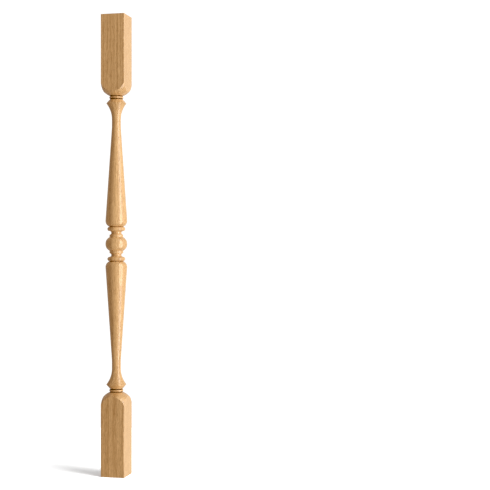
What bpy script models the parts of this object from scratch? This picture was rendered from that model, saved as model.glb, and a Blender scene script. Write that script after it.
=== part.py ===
"""Turned oak baluster for a staircase, one piece of timber with a square block left at each end.

Metres, +Z up. The baluster stands upright on its foot, and the origin is the middle of the foot.
The square blank keeps its faces at the two ends. Between them everything is turned about the Z axis:
a ball with a collar, cove, ring and slit on each side of it, then the same long vase, slim neck, flared
bell and bead, mirrored above and below the ball.
"""
import math

import bmesh
import bpy
from mathutils import Matrix, Vector

# The square blank
SIDE = 0.050
HEIGHT = 0.950
ARRIS_WIDTH = 0.0006
FOOT_BLOCK = 0.1725
HEAD_BLOCK = 0.166

# Where a block is turned down: a round from the bead's quirk out to the corners of the square
SHOULDER_ROOT_DIAMETER = 0.0266
SHOULDER_LENGTH = 0.025
SHOULDER_ROUND = 0.038

# The ball in the middle. Its section is a superellipse: a fullness of 2 would be a plain ellipse.
BALL_DIAMETER = 0.0447
BALL_LENGTH = 0.0275
BALL_END_DIAMETER = 0.0297
BALL_FULLNESS = 2.28

# What stands on each side of the ball. The cove and the ring start from the collar's diameter.
COLLAR_DIAMETER = 0.0283
COLLAR_LENGTH = 0.0055
COVE_LENGTH = 0.0073
COVE_FLOOR_DIAMETER = 0.0210
RING_DIAMETER = 0.0370
RING_LENGTH = 0.0088

# The narrow quirk that parts the ring from the vase
SLIT_LENGTH = 0.0004
SLIT_DIAMETER = 0.0276

# The vase, which swells from the ring and tapers in a straight line to the neck
VASE_DIAMETER = 0.0447
VASE_ROOT_DIAMETER = 0.0293
VASE_ROUND = 0.013
NECK_DIAMETER = 0.0184
NECK_LENGTH = 0.0169

# The bell, whose hollow flare ends in a sharp rim
BELL_DIAMETER = 0.0415
BELL_SWEEP = 0.052
BELL_BACK_LENGTH = 0.0083
BELL_BACK_DIAMETER = 0.0270

# The bead between the bell and the block, with a quirk cut on each side of it
QUIRK_DIAMETER = 0.0258
INNER_QUIRK_LENGTH = 0.0016
OUTER_QUIRK_LENGTH = 0.0012
BEAD_DIAMETER = 0.0292
BEAD_LENGTH = 0.0043

# How finely the curves are drawn
SEGMENTS = 40
BALL_STEPS = 8
COVE_STEPS = 6
VASE_STEPS = 7
FLARE_STEPS = 6
BEAD_STEPS = 5
SHOULDER_STEPS = 9
ARRIS_STEPS = 2
SMOOTH_ANGLE = math.radians(28)

# How far the turned solid stands clear of the timber where nothing is cut
TURNING_CLEARANCE = 0.004

OAK_COLOUR = (0.56, 0.33, 0.14, 1.0)
OAK_ROUGHNESS = 0.38


def clear_scene():
    """Removes what the scene holds, so that the model starts from nothing."""
    for item in list(bpy.data.objects):
        bpy.data.objects.remove(item, do_unlink=True)


def arc(middle, radius, start, end, steps):
    """Points of a circle's arc. A point is (distance from the ball's middle, radius from the axis)."""
    points = []
    for step in range(steps + 1):
        angle = start + (end - start) * step / steps
        points.append((middle[0] + radius * math.cos(angle), middle[1] + radius * math.sin(angle)))
    return points


def bulge(start, length, base, crown, steps):
    """A half-ellipse that rises from the base radius to the crown radius; a lower crown makes a hollow."""
    points = []
    for step in range(steps + 1):
        angle = math.pi * step / steps
        along = start + length * (1 - math.cos(angle)) / 2
        points.append((along, base + (crown - base) * math.sin(angle)))
    return points


def ball_section():
    """Half of the ball, from its middle out to where the collar stops it."""
    crown = BALL_DIAMETER / 2
    reach = BALL_LENGTH / 2
    end_share = (BALL_END_DIAMETER / BALL_DIAMETER) ** BALL_FULLNESS
    pole = reach / (1 - end_share) ** (1 / BALL_FULLNESS)
    points = []
    for step in range(BALL_STEPS + 1):
        along = reach * math.sin(math.pi / 2 * step / BALL_STEPS)
        share = 1 - (along / pole) ** BALL_FULLNESS
        points.append((along, crown * share ** (1 / BALL_FULLNESS)))
    return points


def ring_section():
    """Collar, cove, ring and slit, from the ball's end to the foot of the vase."""
    collar = COLLAR_DIAMETER / 2
    collar_start = BALL_LENGTH / 2
    collar_end = collar_start + COLLAR_LENGTH
    ring_start = collar_end + COVE_LENGTH
    ring_end = ring_start + RING_LENGTH
    points = [(collar_start, collar)]
    points += bulge(collar_end, COVE_LENGTH, collar, COVE_FLOOR_DIAMETER / 2, COVE_STEPS)
    points += bulge(ring_start, RING_LENGTH, collar, RING_DIAMETER / 2, COVE_STEPS)[1:]
    points += [(ring_end, SLIT_DIAMETER / 2), (ring_end + SLIT_LENGTH, SLIT_DIAMETER / 2)]
    return points


def vase_section(neck_start):
    """The vase's round, which leaves the slit's far side and ends where the straight taper touches it."""
    root = BALL_LENGTH / 2 + COLLAR_LENGTH + COVE_LENGTH + RING_LENGTH + SLIT_LENGTH
    middle_radius = VASE_DIAMETER / 2 - VASE_ROUND
    rise = VASE_ROOT_DIAMETER / 2 - middle_radius
    reach = math.sqrt(VASE_ROUND ** 2 - rise ** 2)
    middle = (root + reach, middle_radius)
    along = neck_start - middle[0]
    drop = NECK_DIAMETER / 2 - middle_radius
    start = math.pi - math.asin(rise / VASE_ROUND)
    tangent = math.atan2(drop, along) + math.acos(VASE_ROUND / math.hypot(along, drop))
    return arc(middle, VASE_ROUND, start, tangent, VASE_STEPS)


def bell_section(flare_start, rim, back_end):
    """The neck's plain run, the hollow flare up to the rim and the bell's sloping back."""
    neck = NECK_DIAMETER / 2
    hollow_middle = (flare_start, neck + BELL_SWEEP)
    turn = math.asin((rim - flare_start) / BELL_SWEEP)
    points = [(flare_start - NECK_LENGTH, neck)]
    points += arc(hollow_middle, BELL_SWEEP, -math.pi / 2, turn - math.pi / 2, FLARE_STEPS)
    points.append((back_end, BELL_BACK_DIAMETER / 2))
    return points


def bead_section(start):
    """The bead between its two quirks."""
    quirk = QUIRK_DIAMETER / 2
    bead_start = start + INNER_QUIRK_LENGTH
    points = [(start, quirk)]
    points += bulge(bead_start, BEAD_LENGTH, quirk, BEAD_DIAMETER / 2, BEAD_STEPS)
    points.append((bead_start + BEAD_LENGTH + OUTER_QUIRK_LENGTH, quirk))
    return points


def shoulder_section(block_start):
    """The block's shoulder: an arc of a given radius from its root to the corner of the square."""
    root = SHOULDER_ROOT_DIAMETER / 2
    corner = SIDE / math.sqrt(2)
    chord = math.hypot(SHOULDER_LENGTH, corner - root)
    depth = math.sqrt(SHOULDER_ROUND ** 2 - (chord / 2) ** 2)
    middle_along = SHOULDER_LENGTH / 2 + depth * (corner - root) / chord
    middle_radius = (corner + root) / 2 - depth * SHOULDER_LENGTH / chord
    start = math.pi - math.asin((root - middle_radius) / SHOULDER_ROUND)
    end = math.atan2(corner - middle_radius, SHOULDER_LENGTH - middle_along)
    return arc((block_start + middle_along, middle_radius), SHOULDER_ROUND, start, end, SHOULDER_STEPS)


def half_section(block):
    """One side of the turned profile, from the ball's middle out past the end of the blank."""
    turned = (HEIGHT - FOOT_BLOCK - HEAD_BLOCK) / 2
    back_end = turned - INNER_QUIRK_LENGTH - BEAD_LENGTH - OUTER_QUIRK_LENGTH
    rim = back_end - BELL_BACK_LENGTH
    rise = (BELL_DIAMETER - NECK_DIAMETER) / 2
    flare_start = rim - math.sqrt(BELL_SWEEP ** 2 - (BELL_SWEEP - rise) ** 2)
    points = ball_section()
    points += ring_section()
    points += vase_section(flare_start - NECK_LENGTH)
    points += bell_section(flare_start, rim, back_end)
    points += bead_section(back_end)
    points += shoulder_section(turned)
    outside = SIDE / math.sqrt(2) + TURNING_CLEARANCE
    points.append((points[-1][0], outside))
    points.append((turned + block + TURNING_CLEARANCE, outside))
    return points


def turned_profile():
    """The whole profile as (radius, height) points, from below the foot to above the head."""
    middle = (FOOT_BLOCK + HEIGHT - HEAD_BLOCK) / 2
    lower = [(radius, middle - along) for along, radius in half_section(FOOT_BLOCK)]
    upper = [(radius, middle + along) for along, radius in half_section(HEAD_BLOCK)]
    lower.reverse()
    return lower + upper[1:]


def make_turning():
    """The solid of revolution that the lathe would leave of a round blank wider than the timber."""
    mesh = bmesh.new()
    corners = [mesh.verts.new((radius, 0, height)) for radius, height in turned_profile()]
    edges = [mesh.edges.new(pair) for pair in zip(corners, corners[1:])]
    bmesh.ops.spin(
        mesh,
        geom=corners + edges,
        axis=Vector((0, 0, 1)),
        cent=Vector((0, 0, 0)),
        angle=math.tau,
        steps=SEGMENTS,
        use_merge=True,
    )
    open_edges = [edge for edge in mesh.edges if edge.is_boundary]
    bmesh.ops.holes_fill(mesh, edges=open_edges, sides=0)
    bmesh.ops.recalc_face_normals(mesh, faces=mesh.faces)
    return make_object("turning", mesh)


def make_blank():
    """The square timber with its four long arrises eased."""
    mesh = bmesh.new()
    bmesh.ops.create_cube(mesh, size=1.0)
    bmesh.ops.transform(mesh, matrix=Matrix.Diagonal((SIDE, SIDE, HEIGHT, 1)), verts=mesh.verts)
    bmesh.ops.translate(mesh, vec=(0, 0, HEIGHT / 2), verts=mesh.verts)
    long_edges = [edge for edge in mesh.edges if edge.calc_length() > (SIDE + HEIGHT) / 2]
    bmesh.ops.bevel(
        mesh, geom=long_edges, offset=ARRIS_WIDTH, segments=ARRIS_STEPS, profile=0.5, affect="EDGES"
    )
    return make_object("baluster", mesh)


def make_object(name, mesh):
    """Links a new object that holds the given bmesh."""
    data = bpy.data.meshes.new(name)
    mesh.to_mesh(data)
    mesh.free()
    item = bpy.data.objects.new(name, data)
    bpy.context.scene.collection.objects.link(item)
    return item


def turn(blank, turning):
    """Keeps of the blank only what lies inside the turned solid, and shades the result."""
    cut = blank.modifiers.new("turning", "BOOLEAN")
    cut.operation = "INTERSECT"
    cut.solver = "EXACT"
    cut.object = turning
    turning.hide_render = True
    turning.display_type = "WIRE"
    depsgraph = bpy.context.evaluated_depsgraph_get()
    finished = bpy.data.meshes.new_from_object(blank.evaluated_get(depsgraph))
    blank.modifiers.clear()
    blank.data = finished
    finished.name = blank.name
    finished.shade_smooth()
    finished.set_sharp_from_angle(angle=SMOOTH_ANGLE)
    bpy.data.objects.remove(turning, do_unlink=True)


def oak():
    """Pale oak under a clear satin varnish."""
    material = bpy.data.materials.new("oak")
    material.use_nodes = True
    shader = material.node_tree.nodes["Principled BSDF"]
    shader.inputs["Base Color"].default_value = OAK_COLOUR
    shader.inputs["Roughness"].default_value = OAK_ROUGHNESS
    shader.inputs["Metallic"].default_value = 0.0
    return material


def main():
    """Builds the baluster."""
    clear_scene()
    baluster = make_blank()
    turn(baluster, make_turning())
    baluster.data.materials.clear()
    baluster.data.materials.append(oak())


main()
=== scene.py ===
"""Looks of a turned oak baluster that stands on a white floor.

Metres, +Z up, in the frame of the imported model. The timber is one closed surface, worked out from the same
sizes as the solid, with its edges sanded, and it is dressed as varnished oak.
"""

import logging
import math
from dataclasses import dataclass
from enum import Enum

import bpy
import numpy as np
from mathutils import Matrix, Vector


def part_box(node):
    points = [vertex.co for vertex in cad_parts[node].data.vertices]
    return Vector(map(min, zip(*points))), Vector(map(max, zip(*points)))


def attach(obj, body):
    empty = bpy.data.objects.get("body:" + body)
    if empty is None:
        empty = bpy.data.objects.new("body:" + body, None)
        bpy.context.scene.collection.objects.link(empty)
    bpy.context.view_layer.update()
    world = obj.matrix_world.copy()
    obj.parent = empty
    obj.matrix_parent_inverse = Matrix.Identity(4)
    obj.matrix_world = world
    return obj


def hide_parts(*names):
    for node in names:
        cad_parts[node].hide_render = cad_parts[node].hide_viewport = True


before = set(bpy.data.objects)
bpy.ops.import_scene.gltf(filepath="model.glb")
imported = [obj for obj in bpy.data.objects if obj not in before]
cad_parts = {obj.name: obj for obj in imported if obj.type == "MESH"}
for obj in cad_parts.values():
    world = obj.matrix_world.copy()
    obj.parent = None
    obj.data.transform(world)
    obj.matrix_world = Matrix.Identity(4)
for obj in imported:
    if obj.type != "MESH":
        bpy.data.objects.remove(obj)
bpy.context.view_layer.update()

LOG = logging.getLogger("baluster")
MM = 0.001
GROOVE = "groove"

Array = np.ndarray
Colour = tuple[float, float, float, float]
Tree = bpy.types.NodeTree
Socket = bpy.types.NodeSocket


class End(Enum):
    """The two square ends of the baluster, by the direction in which they lie from the ball."""

    FOOT = -1
    HEAD = 1


# Helpers


def linear(code: str) -> Colour:
    """Turns a colour from sRGB to linear light.

    Args:
        code: the colour as six hex digits after a hash sign.

    Returns:
        Red, green and blue in linear light, and an alpha of 1.
    """
    parts = [int(code[i:i + 2], 16) / 255 for i in (1, 3, 5)]
    red, green, blue = (p / 12.92 if p <= 0.04045 else ((p + 0.055) / 1.055) ** 2.4 for p in parts)
    return red, green, blue, 1.0


def add_node(tree: Tree, kind: str, inputs: dict | None = None, **settings: object) -> bpy.types.Node:
    """Adds one node to a tree.

    Args:
        tree: the node tree of a material or of the world.
        kind: the node's type.
        inputs: for each input, by name or number, either its value or the socket that feeds it.
        **settings: the node's own properties.

    Returns:
        The new node.
    """
    node = tree.nodes.new(kind)
    for name, value in settings.items():
        setattr(node, name, value)
    for key, value in (inputs or {}).items():
        if isinstance(value, Socket):
            tree.links.new(value, node.inputs[key])
        else:
            node.inputs[key].default_value = value
    return node


def arc(middle: tuple[float, float], radius: float, start: float, end: float, steps: int) -> Array:
    """Points of a circle's arc: (a, r) = middle + radius (cos t, sin t), with t from start to end.

    Args:
        middle: the circle's centre, as distance along the axis and distance from it.
        radius: the circle's radius.
        start: the first angle in radians.
        end: the last angle in radians.
        steps: the number of points.

    Returns:
        An array of (distance along, radius) rows.
    """
    turn = np.linspace(start, end, steps)
    return np.column_stack((middle[0] + radius * np.cos(turn), middle[1] + radius * np.sin(turn)))


def bulge(start: float, length: float, base: float, crown: float, steps: int) -> Array:
    """A half-ellipse: a = start + length (1 - cos t) / 2 and r = base + (crown - base) sin t.

    The angle t goes from 0 to pi.

    Args:
        start: where it leaves the base radius, along the axis.
        length: its length along the axis.
        base: the radius at both of its ends.
        crown: the radius in its middle; less than the base makes a hollow.
        steps: the number of points.

    Returns:
        An array of (distance along, radius) rows.
    """
    turn = np.linspace(0.0, math.pi, steps)
    along = start + length * (1 - np.cos(turn)) / 2
    return np.column_stack((along, base + (crown - base) * np.sin(turn)))


def bend(first: Array, corner: Array, last: Array, steps: int) -> Array:
    """A corner rounded off: p = (1 - t)^2 first + 2 t (1 - t) corner + t^2 last, with t from 0 to 1.

    Args:
        first: where the rounding starts, as an array of any shape.
        corner: the corner that it cuts.
        last: where it ends.
        steps: the number of rows, of which the first is left out because it is the start itself.

    Returns:
        The points, with the steps as a new first axis.
    """
    share = np.linspace(0.0, 1.0, steps)[1:].reshape((-1,) + (1,) * first.ndim)
    return (1 - share) ** 2 * first + 2 * share * (1 - share) * corner + share ** 2 * last


def sanded(section: Array, reach: float, step: float) -> Array:
    """Takes the sharpness off a section's outer corners, and leaves its inner corners crisp.

    The section is walked in even steps, and each point becomes the mean of its neighbours up to the reach
    on both sides, but only where that takes wood away. Both ends stay where they are, because the section is
    carried on past them point-mirrored.

    Args:
        section: (distance along, radius) rows.
        reach: how far to each side the mean goes.
        step: the length of an even step.

    Returns:
        The sanded section, in even steps.
    """
    spans = np.hypot(*np.diff(section, axis=0).T)
    run = np.concatenate(([0.0], np.cumsum(spans)))
    marks = np.linspace(0.0, run[-1], round(run[-1] / step) + 1)
    even = np.column_stack([np.interp(marks, run, column) for column in section.T])
    pad = round(reach / step)
    padded = np.pad(even, ((pad, pad), (0, 0)), mode="reflect", reflect_type="odd")
    kernel = np.full(2 * pad + 1, 1 / (2 * pad + 1))
    mean = np.column_stack([np.convolve(column, kernel, mode="valid") for column in padded.T])
    ahead = np.gradient(mean, axis=0)
    outwards = np.column_stack((-ahead[:, 1], ahead[:, 0]))
    cut = np.sum((mean - even) * outwards, axis=1) < 0
    return np.where(cut[:, None], mean, even)


def thinned(section: Array, longest: float, sharpest: float) -> Array:
    """Keeps only the points that a section needs.

    Points are placed at even values of (length / longest + turn / sharpest), summed along the section.

    Args:
        section: (distance along, radius) rows.
        longest: the length of a straight step.
        sharpest: the turn of a short step, in radians.

    Returns:
        The thinned section.
    """
    steps = np.diff(section, axis=0)
    heading = np.unwrap(np.arctan2(steps[:, 1], steps[:, 0]))
    turn = np.abs(np.diff(heading, prepend=heading[0]))
    cost = np.concatenate(([0.0], np.cumsum(np.hypot(*steps.T) / longest + turn / sharpest)))
    marks = np.linspace(0.0, cost[-1], math.ceil(cost[-1]) + 1)
    return np.column_stack([np.interp(marks, cost, column) for column in section.T])


def lathe_mesh(name: str, grid: Array) -> bpy.types.Object:
    """Makes a closed surface of a grid that goes round an upright axis.

    Args:
        name: the new object's name.
        grid: (rows, columns, 3) points in metres, with the rows from the foot up and the columns
            anticlockwise seen from above. The first and the last row are closed to a point on the axis.

    Returns:
        The new object, linked to the scene, at the origin.
    """
    rows, columns, _ = grid.shape
    poles = np.array([[0.0, 0.0, grid[0, 0, 2]], [0.0, 0.0, grid[-1, 0, 2]]])
    vertices = np.vstack((grid.reshape(-1, 3), poles))
    index = np.arange(rows * columns).reshape(rows, columns)
    beside = np.roll(index, -1, axis=1)
    sides = np.stack((index[:-1], beside[:-1], beside[1:], index[1:]), axis=-1).reshape(-1, 4)
    under = np.full(columns, rows * columns)
    bottom = np.column_stack((beside[0], index[0], under))
    top = np.column_stack((index[-1], beside[-1], under + 1))
    mesh = bpy.data.meshes.new(name)
    mesh.from_pydata(vertices, [], sides.tolist() + bottom.tolist() + top.tolist())
    mesh.update()
    mesh.shade_smooth()
    item = bpy.data.objects.new(name, mesh)
    bpy.context.scene.collection.objects.link(item)
    return item


# The turned forms, from the ball outwards


@dataclass(frozen=True)
class Ball:
    """The ball in the middle, a superellipse in section that the collars cut off."""

    diameter: float = 44.7 * MM
    length: float = 27.5 * MM
    end_diameter: float = 29.7 * MM
    fullness: float = 2.28

    def section(self, steps: int = 60) -> Array:
        """Half of the section: (r / crown)^n + (a / pole)^n = 1, from the middle to the collar.

        Args:
            steps: the number of points.

        Returns:
            An array of (distance along, radius) rows.
        """
        end_share = (self.end_diameter / self.diameter) ** self.fullness
        pole = self.length / 2 / (1 - end_share) ** (1 / self.fullness)
        along = self.length / 2 * np.sin(np.linspace(0.0, math.pi / 2, steps))
        share = 1 - (along / pole) ** self.fullness
        return np.column_stack((along, self.diameter / 2 * share ** (1 / self.fullness)))


@dataclass(frozen=True)
class RingGroup:
    """The collar, cove and half-round ring beside the ball, and the narrow slit between ring and vase."""

    collar_diameter: float = 28.3 * MM
    collar_length: float = 5.5 * MM
    cove_length: float = 7.3 * MM
    cove_floor_diameter: float = 21.0 * MM
    ring_diameter: float = 37.0 * MM
    ring_length: float = 8.8 * MM
    slit_length: float = 0.4 * MM
    slit_diameter: float = 27.6 * MM

    @property
    def length(self) -> float:
        """The length of all four along the axis."""
        return self.collar_length + self.cove_length + self.ring_length + self.slit_length

    def section(self, start: float, steps: int = 60) -> Array:
        """The collar's straight side, then a hollow and a swelling half-ellipse on its radius, and the slit.

        Args:
            start: where the collar leaves the ball.
            steps: the number of points of each curve.

        Returns:
            An array of (distance along, radius) rows.
        """
        base = self.collar_diameter / 2
        cove_start = start + self.collar_length
        cove = bulge(cove_start, self.cove_length, base, self.cove_floor_diameter / 2, steps)
        ring = bulge(cove_start + self.cove_length, self.ring_length, base, self.ring_diameter / 2, steps)
        floor = self.slit_diameter / 2
        slit = [[start + self.length - self.slit_length, floor], [start + self.length, floor]]
        return np.vstack(([[start, base]], cove, ring[1:], slit))


@dataclass(frozen=True)
class Vase:
    """The long vase: a round at its full end and a straight taper down to the neck."""

    diameter: float = 44.7 * MM
    root_diameter: float = 29.3 * MM
    end_round: float = 13.0 * MM

    def section(self, root: float, neck: float, neck_radius: float, steps: int = 60) -> Array:
        """An arc that rises from the slit and ends where the straight taper to the neck touches it.

        Args:
            root: where the vase rises from the slit.
            neck: where the taper ends.
            neck_radius: the radius there.
            steps: the number of points of the arc.

        Returns:
            An array of (distance along, radius) rows, up to the start of the taper.
        """
        middle_radius = self.diameter / 2 - self.end_round
        rise = self.root_diameter / 2 - middle_radius
        middle = (root + math.sqrt(self.end_round ** 2 - rise ** 2), middle_radius)
        along, drop = neck - middle[0], neck_radius - middle_radius
        start = math.pi - math.asin(rise / self.end_round)
        touch = math.atan2(drop, along) + math.acos(self.end_round / math.hypot(along, drop))
        return arc(middle, self.end_round, start, touch, steps)


@dataclass(frozen=True)
class Bell:
    """The slim neck, the hollow flare to a sharp rim, and the sloping back behind it."""

    neck_diameter: float = 18.4 * MM
    neck_length: float = 16.9 * MM
    diameter: float = 41.5 * MM
    sweep: float = 52.0 * MM
    back_length: float = 8.3 * MM
    back_diameter: float = 27.0 * MM

    def neck_start(self, back_end: float) -> float:
        """Where the neck begins, for a bell whose back ends at a given place."""
        return self.flare_start(back_end) - self.neck_length

    def flare_start(self, back_end: float) -> float:
        """Where the flare leaves the neck: the sweep's arc rises from there to the rim."""
        rise = (self.diameter - self.neck_diameter) / 2
        return back_end - self.back_length - math.sqrt(self.sweep ** 2 - (self.sweep - rise) ** 2)

    def section(self, back_end: float, steps: int = 60) -> Array:
        """The neck's straight run, an arc that starts level with it, and a straight slope behind the rim.

        Args:
            back_end: where the slope ends.
            steps: the number of points of the arc.

        Returns:
            An array of (distance along, radius) rows.
        """
        neck = self.neck_diameter / 2
        flare = self.flare_start(back_end)
        turn = math.asin((back_end - self.back_length - flare) / self.sweep)
        hollow = arc((flare, neck + self.sweep), self.sweep, -math.pi / 2, turn - math.pi / 2, steps)
        return np.vstack(([[self.neck_start(back_end), neck]], hollow, [[back_end, self.back_diameter / 2]]))


@dataclass(frozen=True)
class Bead:
    """The bead between the bell and the block, with a quirk on each side."""

    quirk_diameter: float = 25.8 * MM
    inner_quirk: float = 1.6 * MM
    outer_quirk: float = 1.2 * MM
    diameter: float = 29.2 * MM
    bead_length: float = 4.3 * MM

    @property
    def length(self) -> float:
        """The length of the bead and both quirks along the axis."""
        return self.inner_quirk + self.bead_length + self.outer_quirk

    def section(self, start: float, steps: int = 40) -> Array:
        """A half-ellipse that rises from the floor of two straight quirks.

        Args:
            start: where the inner quirk begins.
            steps: the number of points of the bead.

        Returns:
            An array of (distance along, radius) rows.
        """
        quirk = self.quirk_diameter / 2
        bead = bulge(start + self.inner_quirk, self.bead_length, quirk, self.diameter / 2, steps)
        return np.vstack(([[start, quirk]], bead, [[start + self.length, quirk]]))


@dataclass(frozen=True)
class Block:
    """A square end of the timber, with its eased arrises and the rounded shoulder that leads to it.

    The quarter is the number of the grid's columns in a quarter turn. The face's reach is how near to the
    arris the columns on a face go, as shares of the way.
    """

    length: float
    side: float
    arris: float = 0.6 * MM
    root_diameter: float = 26.6 * MM
    shoulder_length: float = 25.0 * MM
    shoulder_round: float = 38.0 * MM
    sanding: float = 0.15 * MM
    quarter: int = 36
    arris_columns: int = 5
    face_reach: tuple[float, float] = (0.975, 0.993)
    shoulder_rows: int = 16
    bend_rows: int = 5

    def outline(self, angle: Array) -> Array:
        """The square's distance from the axis, with its corners rounded to the arris.

        With t the angle from the nearest face's middle, the face is at h / cos t, and the corner's circle
        at c cos u + sqrt(arris^2 - c^2 sin^2 u), where u is the angle from the corner and c its centre's
        distance.

        Args:
            angle: the directions, in radians.

        Returns:
            The distance in each direction.
        """
        half = self.side / 2
        inner = half - self.arris
        from_face = np.abs((angle + math.pi / 4) % (math.pi / 2) - math.pi / 4)
        from_corner = math.pi / 4 - from_face
        centre = inner * math.sqrt(2)
        under_root = np.maximum(self.arris ** 2 - (centre * np.sin(from_corner)) ** 2, 0.0)
        corner = centre * np.cos(from_corner) + np.sqrt(under_root)
        return np.where(from_face < math.atan2(inner, half), half / np.cos(from_face), corner)

    def columns(self) -> Array:
        """The directions of the grid's columns on a block, which crowd together round the four arrises.

        From a face's middle they go in even steps up to the first share of the face's reach. Then come one
        at the second share and the ones on the arris.

        Returns:
            An array of angles in radians, anticlockwise from +X.
        """
        edge = math.atan2(self.side / 2 - self.arris, self.side / 2)
        even_end, last = self.face_reach
        on_arris = np.linspace(edge, math.pi / 4, self.arris_columns)
        on_face = np.linspace(0.0, edge * even_end, self.quarter // 2 - self.arris_columns)
        eighth = np.concatenate((on_face, [edge * last], on_arris))
        fourth = np.concatenate((eighth, math.pi / 2 - eighth[-2:0:-1]))
        return (fourth + np.arange(4)[:, None] * math.pi / 2).ravel()

    def even_columns(self) -> Array:
        """The directions of as many columns, evenly spaced, as the turned part has them."""
        return np.arange(4 * self.quarter) * math.tau / (4 * self.quarter)

    def rows(self, start: float) -> Array:
        """The block's surface, as rows from the shoulder's root to the middle of the end face.

        Each column follows the shoulder's arc until it meets the square, bends over by the sanding, runs
        along the face, bends over the end's edge and goes half-way in on the end face. Over the first half
        of the shoulder the directions pass smoothly from even steps to those of the block's columns.

        Args:
            start: where the shoulder leaves the quirk, measured from the ball's middle.

        Returns:
            A (rows, columns, 3) array of direction, distance along and radius.
        """
        angle = self.columns()
        reach = self.outline(angle)
        root, widest = self.root_diameter / 2, self.side / math.sqrt(2)
        chord = math.hypot(self.shoulder_length, widest - root)
        depth = math.sqrt(self.shoulder_round ** 2 - (chord / 2) ** 2)
        middle = start + self.shoulder_length / 2 + depth * (widest - root) / chord
        middle_radius = (widest + root) / 2 - depth * self.shoulder_length / chord
        first = math.pi - math.asin((root - middle_radius) / self.shoulder_round)
        meet = math.pi - np.arcsin((reach - middle_radius) / self.shoulder_round)
        share = np.linspace(0.0, 1.0, self.shoulder_rows)[:, None]
        turn = first + (meet + self.sanding / self.shoulder_round - first) * share
        shoulder = np.stack((
            middle + self.shoulder_round * np.cos(turn),
            middle_radius + self.shoulder_round * np.sin(turn),
        ), axis=-1)
        arch = np.stack((middle + self.shoulder_round * np.cos(meet), reach), axis=-1)
        ease = np.array([self.sanding, 0.0])
        inwards = np.array([0.0, -self.sanding])
        end = np.stack((np.full_like(reach, start + self.length), reach), axis=-1)
        parts = (
            shoulder,
            bend(shoulder[-1], arch, arch + ease, self.bend_rows),
            (arch + 2 * ease)[None],
            (end - 2 * ease)[None],
            (end - ease)[None],
            bend(end - ease, end, end + inwards, self.bend_rows),
            (end + 2 * inwards)[None],
            (end * (1.0, 0.5))[None],
        )
        profile = np.concatenate(parts)
        blend = np.clip(2 * share, 0.0, 1.0)
        blend = blend ** 2 * (3 - 2 * blend)
        angles = np.broadcast_to(angle, profile.shape[:2]).copy()
        angles[:self.shoulder_rows] = (1 - blend) * self.even_columns() + blend * angle
        return np.concatenate((angles[..., None], profile), axis=-1)


# Finishes


@dataclass(frozen=True)
class Threads:
    """Noise drawn out along the timber, with its middle range stretched to a given result.

    The grain is the size of a thread along the three coordinates that it is laid by. The limits are the
    values of the noise that give the least and the greatest result, and the detail is how much finer noise
    is laid over it.
    """

    grain: tuple[float, float, float]
    limits: tuple[float, float]
    result: tuple[float, float]
    detail: float = 1.0

    def lay(self, tree: Tree, place: Socket) -> Socket:
        """Adds the threads to a material.

        Args:
            tree: the material's node tree.
            place: the socket with the coordinates.

        Returns:
            The socket of the result.
        """
        stretched = add_node(
            tree, "ShaderNodeMapping", {"Vector": place, "Scale": tuple(1 / size for size in self.grain)},
        ).outputs[0]
        noise = add_node(
            tree, "ShaderNodeTexNoise", {"Vector": stretched, "Scale": 1.0, "Detail": self.detail},
        ).outputs[0]
        return add_node(tree, "ShaderNodeMapRange", {
            "Value": noise,
            "From Min": self.limits[0],
            "From Max": self.limits[1],
            "To Min": self.result[0],
            "To Max": self.result[1],
        }).outputs[0]


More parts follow.
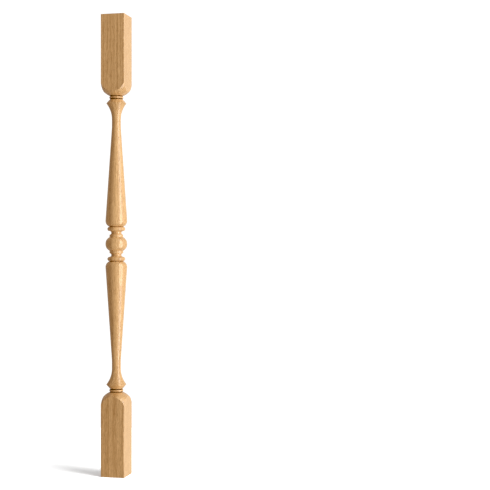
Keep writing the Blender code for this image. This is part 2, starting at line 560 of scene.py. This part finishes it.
@dataclass(frozen=True)
class VarnishedOak:
    """Oak, turned, sanded and clear varnished.

    To the eye: straw and tan bands, brown lines of open pores where each year's growth begins, fine upright
    fibres between them, a soft satin gloss on the rounds, and narrow grooves left dull, with painted shade
    that darkens them towards their floors. The pores and fibres are about 0.3 mm wide, as in the real wood.
    """

    # Colours
    light_wood: str = "#F6CE97"
    deep_wood: str = "#D4A973"
    pore_line: str = "#7C5026"
    end_wood: str = "#CFAE8C"
    # Painted shade: the colour that darkens the narrow grooves towards their floors
    painted_groove_shade: str = "#4A3018"
    # The years: the depths of their first lines in millimetres, and edges and widths as shares of a year
    years: tuple[float, ...] = (
        -29.0, -26.1, -23.2, -20.3, -17.5, -14.2, -10.1, -7.7, -5.7, -4.1, -1.1, 2.3, 4.5, 9.3, 11.5, 15.7,
        18.9, 21.5, 24.0, 27.0,
    )
    depth_limit: float = 30.0 * MM
    corner_round: float = 2.0 * MM
    slow_waver: Threads = Threads((25 * MM, 25 * MM, 120 * MM), (0.25, 0.75), (-1.6 * MM, 1.6 * MM))
    quick_waver: Threads = Threads((5 * MM, 5 * MM, 22 * MM), (0.2, 0.8), (-0.5 * MM, 0.5 * MM))
    line_edge: tuple[float, float] = (0.02, 0.12)
    line_strength: tuple[float, float] = (0.3, 0.85)
    after_width: float = 0.6
    fine_lines: float = 3.0
    fine_edge: tuple[float, float] = (0.05, 0.25)
    # Pores, fibres and bands
    pores: Threads = Threads((0.3 * MM, 1 * MM, 8 * MM), (0.40, 0.60), (0.1, 1.0))
    gaps: Threads = Threads((1.2 * MM, 4 * MM, 18 * MM), (0.45, 0.65), (0.0, 0.5))
    specks: Threads = Threads((0.28 * MM, 0.9 * MM, 9 * MM), (0.56, 0.72), (0.0, 0.7))
    fibres: Threads = Threads((0.3 * MM, 2 * MM, 24 * MM), (0.3, 0.7), (-0.8, 0.8), detail=2.0)
    bands: Threads = Threads((2.5 * MM, 30 * MM, 400 * MM), (0.3, 0.7), (-0.6, 0.6), detail=2.0)
    # Tones, where 0 is the light wood and 1 the deep wood, and how much less bold they are past the arris
    mean_tone: float = 0.4
    after_tone: float = 0.3
    flat_boldness: float = 0.4
    flat_reach: float = 8.0 * MM
    # Surface
    pore_bump: float = 0.25
    pore_depth: float = 0.05 * MM
    roughness: float = 0.45
    gloss: float = 0.5
    varnish: float = 1.0
    varnish_roughness: float = 0.22
    end_depth: float = 0.2 * MM

    def material(self, height: float) -> bpy.types.Material:
        """Makes the material.

        Args:
            height: the height of the timber, whose two ends show end grain.

        Returns:
            The new material.
        """
        material = bpy.data.materials.new("varnished_oak")
        material.use_nodes = True
        tree = material.node_tree
        tree.nodes.clear()
        place = add_node(tree, "ShaderNodeTexCoord").outputs["Object"]
        depth, sheet, boldness = self.sheets(tree, place)
        line, after, fine = self.growth_years(tree, depth)
        wood = self.plain_wood(tree, sheet, after, boldness)
        dark = self.open_pores(tree, sheet, line, fine)
        grain = add_node(
            tree, "ShaderNodeMix", {0: dark, 6: wood, 7: linear(self.pore_line)}, data_type="RGBA",
        ).outputs[2]
        bump = add_node(
            tree, "ShaderNodeBump",
            {"Height": dark, "Strength": self.pore_bump, "Distance": self.pore_depth}, invert=True,
        ).outputs[0]
        groove = add_node(tree, "ShaderNodeAttribute", attribute_name=GROOVE).outputs["Fac"]
        end = self.ends(tree, place, height)
        # Painted shade: the groove mask darkens the narrow grooves towards their floors
        colour = add_node(
            tree, "ShaderNodeMix", {0: groove, 6: grain, 7: linear(self.painted_groove_shade)}, data_type="RGBA",
            blend_type="MULTIPLY",
        ).outputs[2]
        colour = add_node(
            tree, "ShaderNodeMix", {0: end, 6: colour, 7: linear(self.end_wood)}, data_type="RGBA",
            blend_type="MULTIPLY",
        ).outputs[2]
        dull = add_node(tree, "ShaderNodeMath", {0: groove, 1: end}, operation="MAXIMUM").outputs[0]
        gloss = add_node(
            tree, "ShaderNodeMapRange", {"Value": dull, "To Min": self.gloss, "To Max": 0.0},
        ).outputs[0]
        bare = add_node(tree, "ShaderNodeMath", {0: dull, 1: dark}, operation="MAXIMUM").outputs[0]
        varnish = add_node(
            tree, "ShaderNodeMapRange", {"Value": bare, "To Min": self.varnish, "To Max": 0.0},
        ).outputs[0]
        shader = add_node(tree, "ShaderNodeBsdfPrincipled", {
            "Base Color": colour,
            "Roughness": self.roughness,
            "Specular IOR Level": gloss,
            "Normal": bump,
            "Coat Weight": varnish,
            "Coat Roughness": self.varnish_roughness,
        })
        add_node(tree, "ShaderNodeOutputMaterial", {"Surface": shader.outputs[0]})
        return material

    def plain_wood(self, tree: Tree, sheet: Socket, after: Socket, boldness: Socket) -> Socket:
        """The colour of the wood between the pores, from light to deep.

        The tone is the mean plus the boldness times the sum of the bands, the fibres and a share of the tone
        that follows the start of a year.

        Args:
            tree: the material's node tree.
            sheet: the socket of the place in the sheets.
            after: the socket of the tone that follows the start of a year.
            boldness: the socket of how boldly the tones differ.

        Returns:
            The socket of the colour.
        """
        bands = self.bands.lay(tree, sheet)
        fibres = self.fibres.lay(tree, sheet)
        tone = add_node(tree, "ShaderNodeMath", {0: bands, 1: fibres}, operation="ADD").outputs[0]
        tone = add_node(
            tree, "ShaderNodeMath", {0: after, 1: self.after_tone, 2: tone}, operation="MULTIPLY_ADD",
        ).outputs[0]
        tone = add_node(
            tree, "ShaderNodeMath", {0: tone, 1: boldness, 2: self.mean_tone}, operation="MULTIPLY_ADD",
        ).outputs[0]
        return add_node(
            tree, "ShaderNodeMix", {0: tone, 6: linear(self.light_wood), 7: linear(self.deep_wood)},
            data_type="RGBA", clamp_factor=False,
        ).outputs[2]

    def open_pores(self, tree: Tree, sheet: Socket, line: Socket, fine: Socket) -> Socket:
        """The open pores: dense on the years' lines, broken on the finer lines, and as specks between.

        Args:
            tree: the material's node tree.
            sheet: the socket of the place in the sheets.
            line: the socket of the lines where the years begin.
            fine: the socket of the finer lines.

        Returns:
            The socket of how dark it is, from 0 to 1.
        """
        gaps = self.gaps.lay(tree, sheet)
        pores = self.pores.lay(tree, sheet)
        specks = self.specks.lay(tree, sheet)
        fine = add_node(tree, "ShaderNodeMath", {0: fine, 1: gaps}, operation="MULTIPLY").outputs[0]
        line = add_node(tree, "ShaderNodeMath", {0: line, 1: fine}, operation="MAXIMUM").outputs[0]
        line = add_node(tree, "ShaderNodeMath", {0: line, 1: pores}, operation="MULTIPLY").outputs[0]
        return add_node(tree, "ShaderNodeMath", {0: line, 1: specks}, operation="MAXIMUM").outputs[0]

    def sheets(self, tree: Tree, place: Socket) -> tuple[Socket, Socket, Socket]:
        """The sheets of wood that the years laid down, upright and folded round the arris between two faces.

        A sheet's depth is the smooth minimum of x and -y, plus a slow and a quick waver along the timber.
        Where x + y is above 0 the surface meets the sheets more flatly, and their tones differ less.

        Args:
            tree: the material's node tree.
            place: the socket with the object coordinates.

        Returns:
            The sockets of the depth, of a place measured through, along and up the sheets, and of the
            boldness.
        """
        split = add_node(tree, "ShaderNodeSeparateXYZ", {0: place}).outputs
        back = add_node(tree, "ShaderNodeMath", {0: split[1], 1: -1.0}, operation="MULTIPLY").outputs[0]
        depth = add_node(
            tree, "ShaderNodeMath", {0: split[0], 1: back, 2: self.corner_round}, operation="SMOOTH_MIN",
        ).outputs[0]
        for waver in (self.slow_waver.lay(tree, place), self.quick_waver.lay(tree, place)):
            depth = add_node(tree, "ShaderNodeMath", {0: depth, 1: waver}, operation="ADD").outputs[0]
        along = add_node(tree, "ShaderNodeMath", {0: split[0], 1: split[1]}, operation="ADD").outputs[0]
        sheet = add_node(tree, "ShaderNodeCombineXYZ", {0: depth, 1: along, 2: split[2]}).outputs[0]
        boldness = add_node(
            tree, "ShaderNodeMapRange",
            {"Value": along, "From Max": self.flat_reach, "To Min": 1.0, "To Max": self.flat_boldness},
        ).outputs[0]
        return depth, sheet, boldness

    def growth_years(self, tree: Tree, depth: Socket) -> tuple[Socket, Socket, Socket]:
        """The lines where the years begin, by a curve that counts the years up to a depth.

        A line stands where the count is whole, each with a strength of its own. The tone behind it fades
        over the next part of the year, and finer lines divide the year evenly.

        Args:
            tree: the material's node tree.
            depth: the socket of the depth.

        Returns:
            The sockets of the line, of the tone that follows it and of the finer lines, from 0 to 1.
        """
        share = add_node(
            tree, "ShaderNodeMath", {0: depth, 1: 0.5 / self.depth_limit, 2: 0.5}, operation="MULTIPLY_ADD",
        ).outputs[0]
        counter = add_node(tree, "ShaderNodeFloatCurve", {"Value": share})
        curve = counter.mapping.curves[0]
        for number, year in enumerate(self.years, 1):
            place = 0.5 + 0.5 * year * MM / self.depth_limit
            curve.points.new(place, number / (len(self.years) + 1)).handle_type = "VECTOR"
        counter.mapping.update()
        count = add_node(
            tree, "ShaderNodeMath", {0: counter.outputs[0], 1: len(self.years) + 1.0}, operation="MULTIPLY",
        ).outputs[0]
        near = add_node(tree, "ShaderNodeMath", {0: count, 1: 0.5}, operation="PINGPONG").outputs[0]
        line = add_node(
            tree, "ShaderNodeMapRange",
            {
                "Value": near, "From Min": self.line_edge[0], "From Max": self.line_edge[1],
                "To Min": 1.0, "To Max": 0.0,
            },
            interpolation_type="SMOOTHSTEP",
        ).outputs[0]
        year = add_node(tree, "ShaderNodeMath", {0: count}, operation="ROUND").outputs[0]
        chance = add_node(tree, "ShaderNodeTexWhiteNoise", {"W": year}, noise_dimensions="1D").outputs[0]
        weight = add_node(
            tree, "ShaderNodeMapRange",
            {"Value": chance, "To Min": self.line_strength[0], "To Max": self.line_strength[1]},
        ).outputs[0]
        line = add_node(tree, "ShaderNodeMath", {0: line, 1: weight}, operation="MULTIPLY").outputs[0]
        part = add_node(tree, "ShaderNodeMath", {0: count}, operation="FRACT").outputs[0]
        after = add_node(
            tree, "ShaderNodeMapRange",
            {"Value": part, "From Max": self.after_width, "To Min": 1.0, "To Max": 0.0},
            interpolation_type="SMOOTHSTEP",
        ).outputs[0]
        parts = add_node(
            tree, "ShaderNodeMath", {0: count, 1: self.fine_lines}, operation="MULTIPLY",
        ).outputs[0]
        parts = add_node(tree, "ShaderNodeMath", {0: parts, 1: 0.5}, operation="PINGPONG").outputs[0]
        fine = add_node(
            tree, "ShaderNodeMapRange",
            {
                "Value": parts, "From Min": self.fine_edge[0], "From Max": self.fine_edge[1],
                "To Min": 1.0, "To Max": 0.0,
            },
            interpolation_type="SMOOTHSTEP",
        ).outputs[0]
        return line, after, fine

    def ends(self, tree: Tree, place: Socket, height: float) -> Socket:
        """The end grain at the foot and at the head, which drinks in the varnish and so is darker and dull.

        Args:
            tree: the material's node tree.
            place: the socket with the object coordinates.
            height: the height of the timber.

        Returns:
            The socket of a value that is 1 on the end grain and 0 elsewhere.
        """
        level = add_node(tree, "ShaderNodeSeparateXYZ", {0: place}).outputs[2]
        between = add_node(
            tree, "ShaderNodeMath", {0: level, 1: height / 2, 2: height / 2 - self.end_depth},
            operation="COMPARE",
        ).outputs[0]
        return add_node(tree, "ShaderNodeMath", {0: 1.0, 1: between}, operation="SUBTRACT").outputs[0]


# The piece


@dataclass(frozen=True)
class Baluster:
    """The whole timber: two square blocks and the turned forms between them, mirrored about the ball."""

    side: float
    height: float
    foot_length: float = 172.5 * MM
    head_length: float = 166.0 * MM
    ball: Ball = Ball()
    rings: RingGroup = RingGroup()
    vase: Vase = Vase()
    bell: Bell = Bell()
    bead: Bead = Bead()
    sanding: float = 0.25 * MM
    sanding_step: float = 0.05 * MM
    longest_step: float = 5.0 * MM
    sharpest_turn: float = math.radians(7.0)
    crease: float = math.radians(50.0)
    slit_fade: float = 1.1 * MM
    quirk_fade: float = 0.4 * MM
    finish: VarnishedOak = VarnishedOak()

    @property
    def turned(self) -> float:
        """How far the turned part reaches to each side of the ball's middle."""
        return (self.height - self.foot_length - self.head_length) / 2

    @property
    def ball_height(self) -> float:
        """The height of the ball's middle."""
        return self.foot_length + self.turned

    def half_section(self) -> Array:
        """The turned section from the ball's middle to the shoulder.

        Returns:
            An array of (distance along, radius) rows.
        """
        ring_start = self.ball.length / 2
        root = ring_start + self.rings.length
        back_end = self.turned - self.bead.length
        neck_start = self.bell.neck_start(back_end)
        return np.vstack((
            self.ball.section(),
            self.rings.section(ring_start),
            self.vase.section(root, neck_start, self.bell.neck_diameter / 2),
            self.bell.section(back_end),
            self.bead.section(back_end),
        ))

    def turned_rows(self, columns: Array) -> Array:
        """The turned part's surface, as rows from the lower shoulder to the upper one.

        Args:
            columns: the directions of the grid's columns.

        Returns:
            A (rows, columns, 3) array of direction, height above the ball's middle and radius.
        """
        upper = self.half_section()
        lower = upper[:0:-1] * (-1.0, 1.0)
        section = sanded(np.vstack((lower, upper)), self.sanding, self.sanding_step)
        section = thinned(section, self.longest_step, self.sharpest_turn)
        shape = (len(section), len(columns))
        return np.stack((
            np.broadcast_to(columns, shape),
            np.broadcast_to(section[:, :1], shape),
            np.broadcast_to(section[:, 1:], shape),
        ), axis=-1)

    def rows(self) -> Array:
        """The whole timber's rows, from the foot up.

        Returns:
            A (rows, columns, 3) array of direction, height above the ball's middle and radius.
        """
        foot = Block(self.foot_length, self.side)
        head = Block(self.head_length, self.side)
        below = foot.rows(self.turned)[::-1] * (1.0, End.FOOT.value, 1.0)
        above = head.rows(self.turned) * (1.0, End.HEAD.value, 1.0)
        return np.concatenate((below, self.turned_rows(foot.even_columns()), above))

    def surface(self, rows: Array) -> Array:
        """The rows in space: x = r cos a, y = r sin a, z = the ball's height + the height above it.

        Args:
            rows: the timber's rows.

        Returns:
            A (rows, columns, 3) array of points in metres.
        """
        angle, along, radius = np.moveaxis(rows, -1, 0)
        return np.stack((radius * np.cos(angle), radius * np.sin(angle), self.ball_height + along), axis=-1)

    def groove_floors(self) -> Array:
        """The floors of the narrow grooves above the ball: the slit and the two quirks.

        Returns:
            An array of (start, end, radius, fade) rows. Start and end are heights above the ball's middle,
            and the fade is the distance at which the groove's painted shade and dull varnish end.
        """
        slit = self.ball.length / 2 + self.rings.length
        inner = self.turned - self.bead.length
        outer = self.turned - self.bead.outer_quirk
        quirk = self.bead.quirk_diameter / 2
        return np.array([
            (slit - self.rings.slit_length, slit, self.rings.slit_diameter / 2, self.slit_fade),
            (inner, inner + self.bead.inner_quirk, quirk, self.quirk_fade),
            (outer, self.turned, quirk, self.quirk_fade),
        ])

    def grooves(self, rows: Array) -> Array:
        """How far each row belongs to a narrow groove: 1 on its floor, falling to 0 at the fade's distance.

        Args:
            rows: the timber's rows.

        Returns:
            A value from 0 to 1 for each row.
        """
        along, radius = np.abs(rows[..., 1]).max(axis=1)[:, None], rows[..., 2].max(axis=1)[:, None]
        start, end, floor, fade = self.groove_floors().T
        beside = np.maximum(np.maximum(start - along, along - end), 0.0)
        distance = np.hypot(beside, np.maximum(radius - floor, 0.0))
        return np.clip(1 - distance / fade, 0.0, 1.0).max(axis=1)

    def build(self) -> bpy.types.Object:
        """Makes the piece, dresses it and ties it to the frame.

        Returns:
            The finished object.
        """
        rows = self.rows()
        timber = lathe_mesh("baluster_oak", self.surface(rows))
        timber.data.set_sharp_from_angle(angle=self.crease)
        # The groove mask: the material paints shade into the narrow grooves by it, and dulls their varnish
        depths = np.append(np.repeat(self.grooves(rows), rows.shape[1]), (0.0, 0.0))
        timber.data.attributes.new(GROOVE, "FLOAT", "POINT").data.foreach_set("value", depths)
        timber.data.materials.append(self.finish.material(self.height))
        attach(timber, "root")
        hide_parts("baluster")
        return timber


# The studio


@dataclass(frozen=True)
class Studio:
    """A white floor, a tall soft light to the right of the camera, a pale board behind on each side, and an
    even warm light from all round.

    The floor is over-exposed, and a cool glow in it keeps its shadow grey. It has a light of its own, so
    that its shadow can be short and soft. A turn is an angle from the direction of the camera, and a
    radiance is how bright a light looks, where 1 is the white of the picture.
    """

    floor_radius: float = 0.6
    floor_sides: int = 128
    floor_white: Colour = (1.5, 1.5, 1.5, 1.0)
    floor_glow: Colour = (0.0, 0.11, 0.207, 1.0)
    light_turn: float = math.radians(55.5)
    light_distance: float = 5.0
    light_size: tuple[float, float] = (3.6, 18.0)
    light_middle: float = 1.2
    light_radiance: float = 3.3
    floor_light_turn: float = math.radians(47.0)
    floor_light_height: float = 4.0
    floor_light_size: tuple[float, float] = (3.4, 3.0)
    floor_light_radiance: float = 11.0
    board_turns: tuple[float, float] = (math.radians(152.0), math.radians(-150.0))
    board_radiances: tuple[float, float] = (0.36, 0.14)
    ambient: Colour = (0.385, 0.312, 0.247, 1.0)
    backdrop_radiance: float = 1.1
    black_level: float = 0.022

    def build_floor(self) -> bpy.types.Object:
        """Makes the round floor, which stays out of the reflections and the bounced light.

        It is covered with white paper, which is matt, so that the eye sees only a soft shadow on it.

        Returns:
            The floor's object.
        """
        turn = np.linspace(0.0, math.tau, self.floor_sides, endpoint=False)
        rim = np.column_stack((np.cos(turn), np.sin(turn), np.zeros_like(turn))) * self.floor_radius
        mesh = bpy.data.meshes.new("floor")
        mesh.from_pydata(rim, [], [list(range(len(rim)))])
        floor = bpy.data.objects.new("floor", mesh)
        bpy.context.scene.collection.objects.link(floor)
        floor.visible_diffuse = False
        floor.visible_glossy = False
        floor.visible_shadow = False
        material = bpy.data.materials.new("white_floor_paper")
        material.use_nodes = True
        tree = material.node_tree
        tree.nodes.clear()
        white = add_node(tree, "ShaderNodeBsdfDiffuse", {"Color": self.floor_white}).outputs[0]
        glow = add_node(tree, "ShaderNodeEmission", {"Color": self.floor_glow}).outputs[0]
        both = add_node(tree, "ShaderNodeAddShader", {0: white, 1: glow}).outputs[0]
        add_node(tree, "ShaderNodeOutputMaterial", {"Surface": both})
        mesh.materials.append(material)
        return floor

    def build_panel(
        self, name: str, turn: float, radiance: float, middle: float, size: tuple[float, float],
    ) -> bpy.types.Object:
        """Makes one upright oval of light, which faces the baluster's axis.

        Args:
            name: its name.
            turn: the direction in which it stands, as an angle from +X.
            radiance: how bright it looks.
            middle: the height of its middle.
            size: its width and height.

        Returns:
            The light's object.
        """
        width, height = size
        light = bpy.data.lights.new(name, "AREA")
        light.shape = "ELLIPSE"
        light.size = width
        light.size_y = height
        light.energy = radiance * math.pi * (math.pi * width * height / 4)
        panel = bpy.data.objects.new(name, light)
        away = self.light_distance
        panel.location = (away * math.cos(turn), away * math.sin(turn), middle)
        panel.rotation_euler = (math.pi / 2, 0.0, turn + math.pi / 2)
        panel.visible_camera = False
        bpy.context.scene.collection.objects.link(panel)
        return panel

    def build_lights(self, camera_turn: float, floor: bpy.types.Object) -> None:
        """Makes the soft light, the two boards, and a light that only the floor gets.

        Args:
            camera_turn: the direction in which the camera stands, as an angle from +X.
            floor: the floor.
        """
        self.build_panel(
            "soft_light", camera_turn + self.light_turn, self.light_radiance,
            self.light_middle, self.light_size,
        )
        for side, away, radiance in zip(("right", "left"), self.board_turns, self.board_radiances):
            self.build_panel(
                f"{side}_board", camera_turn + away, radiance, self.light_middle, self.light_size,
            )
        floor_light = self.build_panel(
            "floor_light", camera_turn + self.floor_light_turn, self.floor_light_radiance,
            self.floor_light_height, self.floor_light_size,
        )
        lit = bpy.data.collections.new("lit_by_floor_light")
        lit.objects.link(floor)
        floor_light.light_linking.receiver_collection = lit

    def build_world(self) -> None:
        """Makes the even light, and the white that the camera sees behind the baluster."""
        world = bpy.data.worlds.new("studio")
        world.use_nodes = True
        tree = world.node_tree
        tree.nodes.clear()
        seen = add_node(tree, "ShaderNodeLightPath").outputs["Is Camera Ray"]
        even = add_node(tree, "ShaderNodeBackground", {"Color": self.ambient})
        white = add_node(
            tree, "ShaderNodeBackground", {"Color": (1.0,) * 4, "Strength": self.backdrop_radiance},
        )
        both = add_node(tree, "ShaderNodeMixShader", {0: seen, 1: even.outputs[0], 2: white.outputs[0]})
        add_node(tree, "ShaderNodeOutputWorld", {"Surface": both.outputs[0]})
        bpy.context.scene.world = world
        view = bpy.context.scene.view_settings
        view.view_transform = "Standard"
        view.use_curve_mapping = True
        view.curve_mapping.black_level = (self.black_level,) * 3


@dataclass(frozen=True)
class PhotoCamera:
    """The photograph's viewpoint: level, a little to the right of the front, the baluster on the left."""

    turn: float = math.radians(12.818)
    distance: float = 2.28934
    aside: float = 0.266066
    eye_height: float = 0.476073
    lens_mm: float = 81.32
    sensor_mm: float = 36.0

    @property
    def place(self) -> tuple[float, float, float]:
        """Where the camera stands: back along its own view, and aside from the baluster's axis."""
        return (
            self.aside * math.cos(self.turn) + self.distance * math.sin(self.turn),
            self.aside * math.sin(self.turn) - self.distance * math.cos(self.turn),
            self.eye_height,
        )

    @property
    def direction(self) -> float:
        """The direction from the baluster to the camera, as an angle from +X."""
        return math.atan2(self.place[1], self.place[0])

    def build(self) -> bpy.types.Object:
        """Makes the camera and hands it to the scene.

        Returns:
            The camera's object.
        """
        data = bpy.data.cameras.new("camera")
        data.sensor_fit = "HORIZONTAL"
        data.sensor_width = self.sensor_mm
        data.lens = self.lens_mm
        camera = bpy.data.objects.new("camera", data)
        camera.location = self.place
        camera.rotation_euler = (math.pi / 2, 0.0, self.turn)
        bpy.context.scene.collection.objects.link(camera)
        bpy.context.scene.camera = camera
        return camera


def report(piece: bpy.types.Object) -> None:
    """Reports a finished piece, with its size in millimetres and its number of faces."""
    size = " x ".join(f"{extent / MM:.1f}" for extent in piece.dimensions)
    LOG.info("%s: %s mm, %d faces", piece.name, size, len(piece.data.polygons))


def main() -> None:
    """Builds the camera, the studio and the baluster, in that order."""
    logging.basicConfig(level=logging.INFO, format="%(name)s: %(message)s")
    camera = PhotoCamera()
    camera.build()
    studio = Studio()
    studio.build_world()
    floor = studio.build_floor()
    studio.build_lights(camera.direction, floor)
    report(floor)
    lowest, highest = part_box("baluster")
    report(Baluster(side=highest[0] - lowest[0], height=highest[2] - lowest[2]).build())


if __name__ == "__main__":
    main()
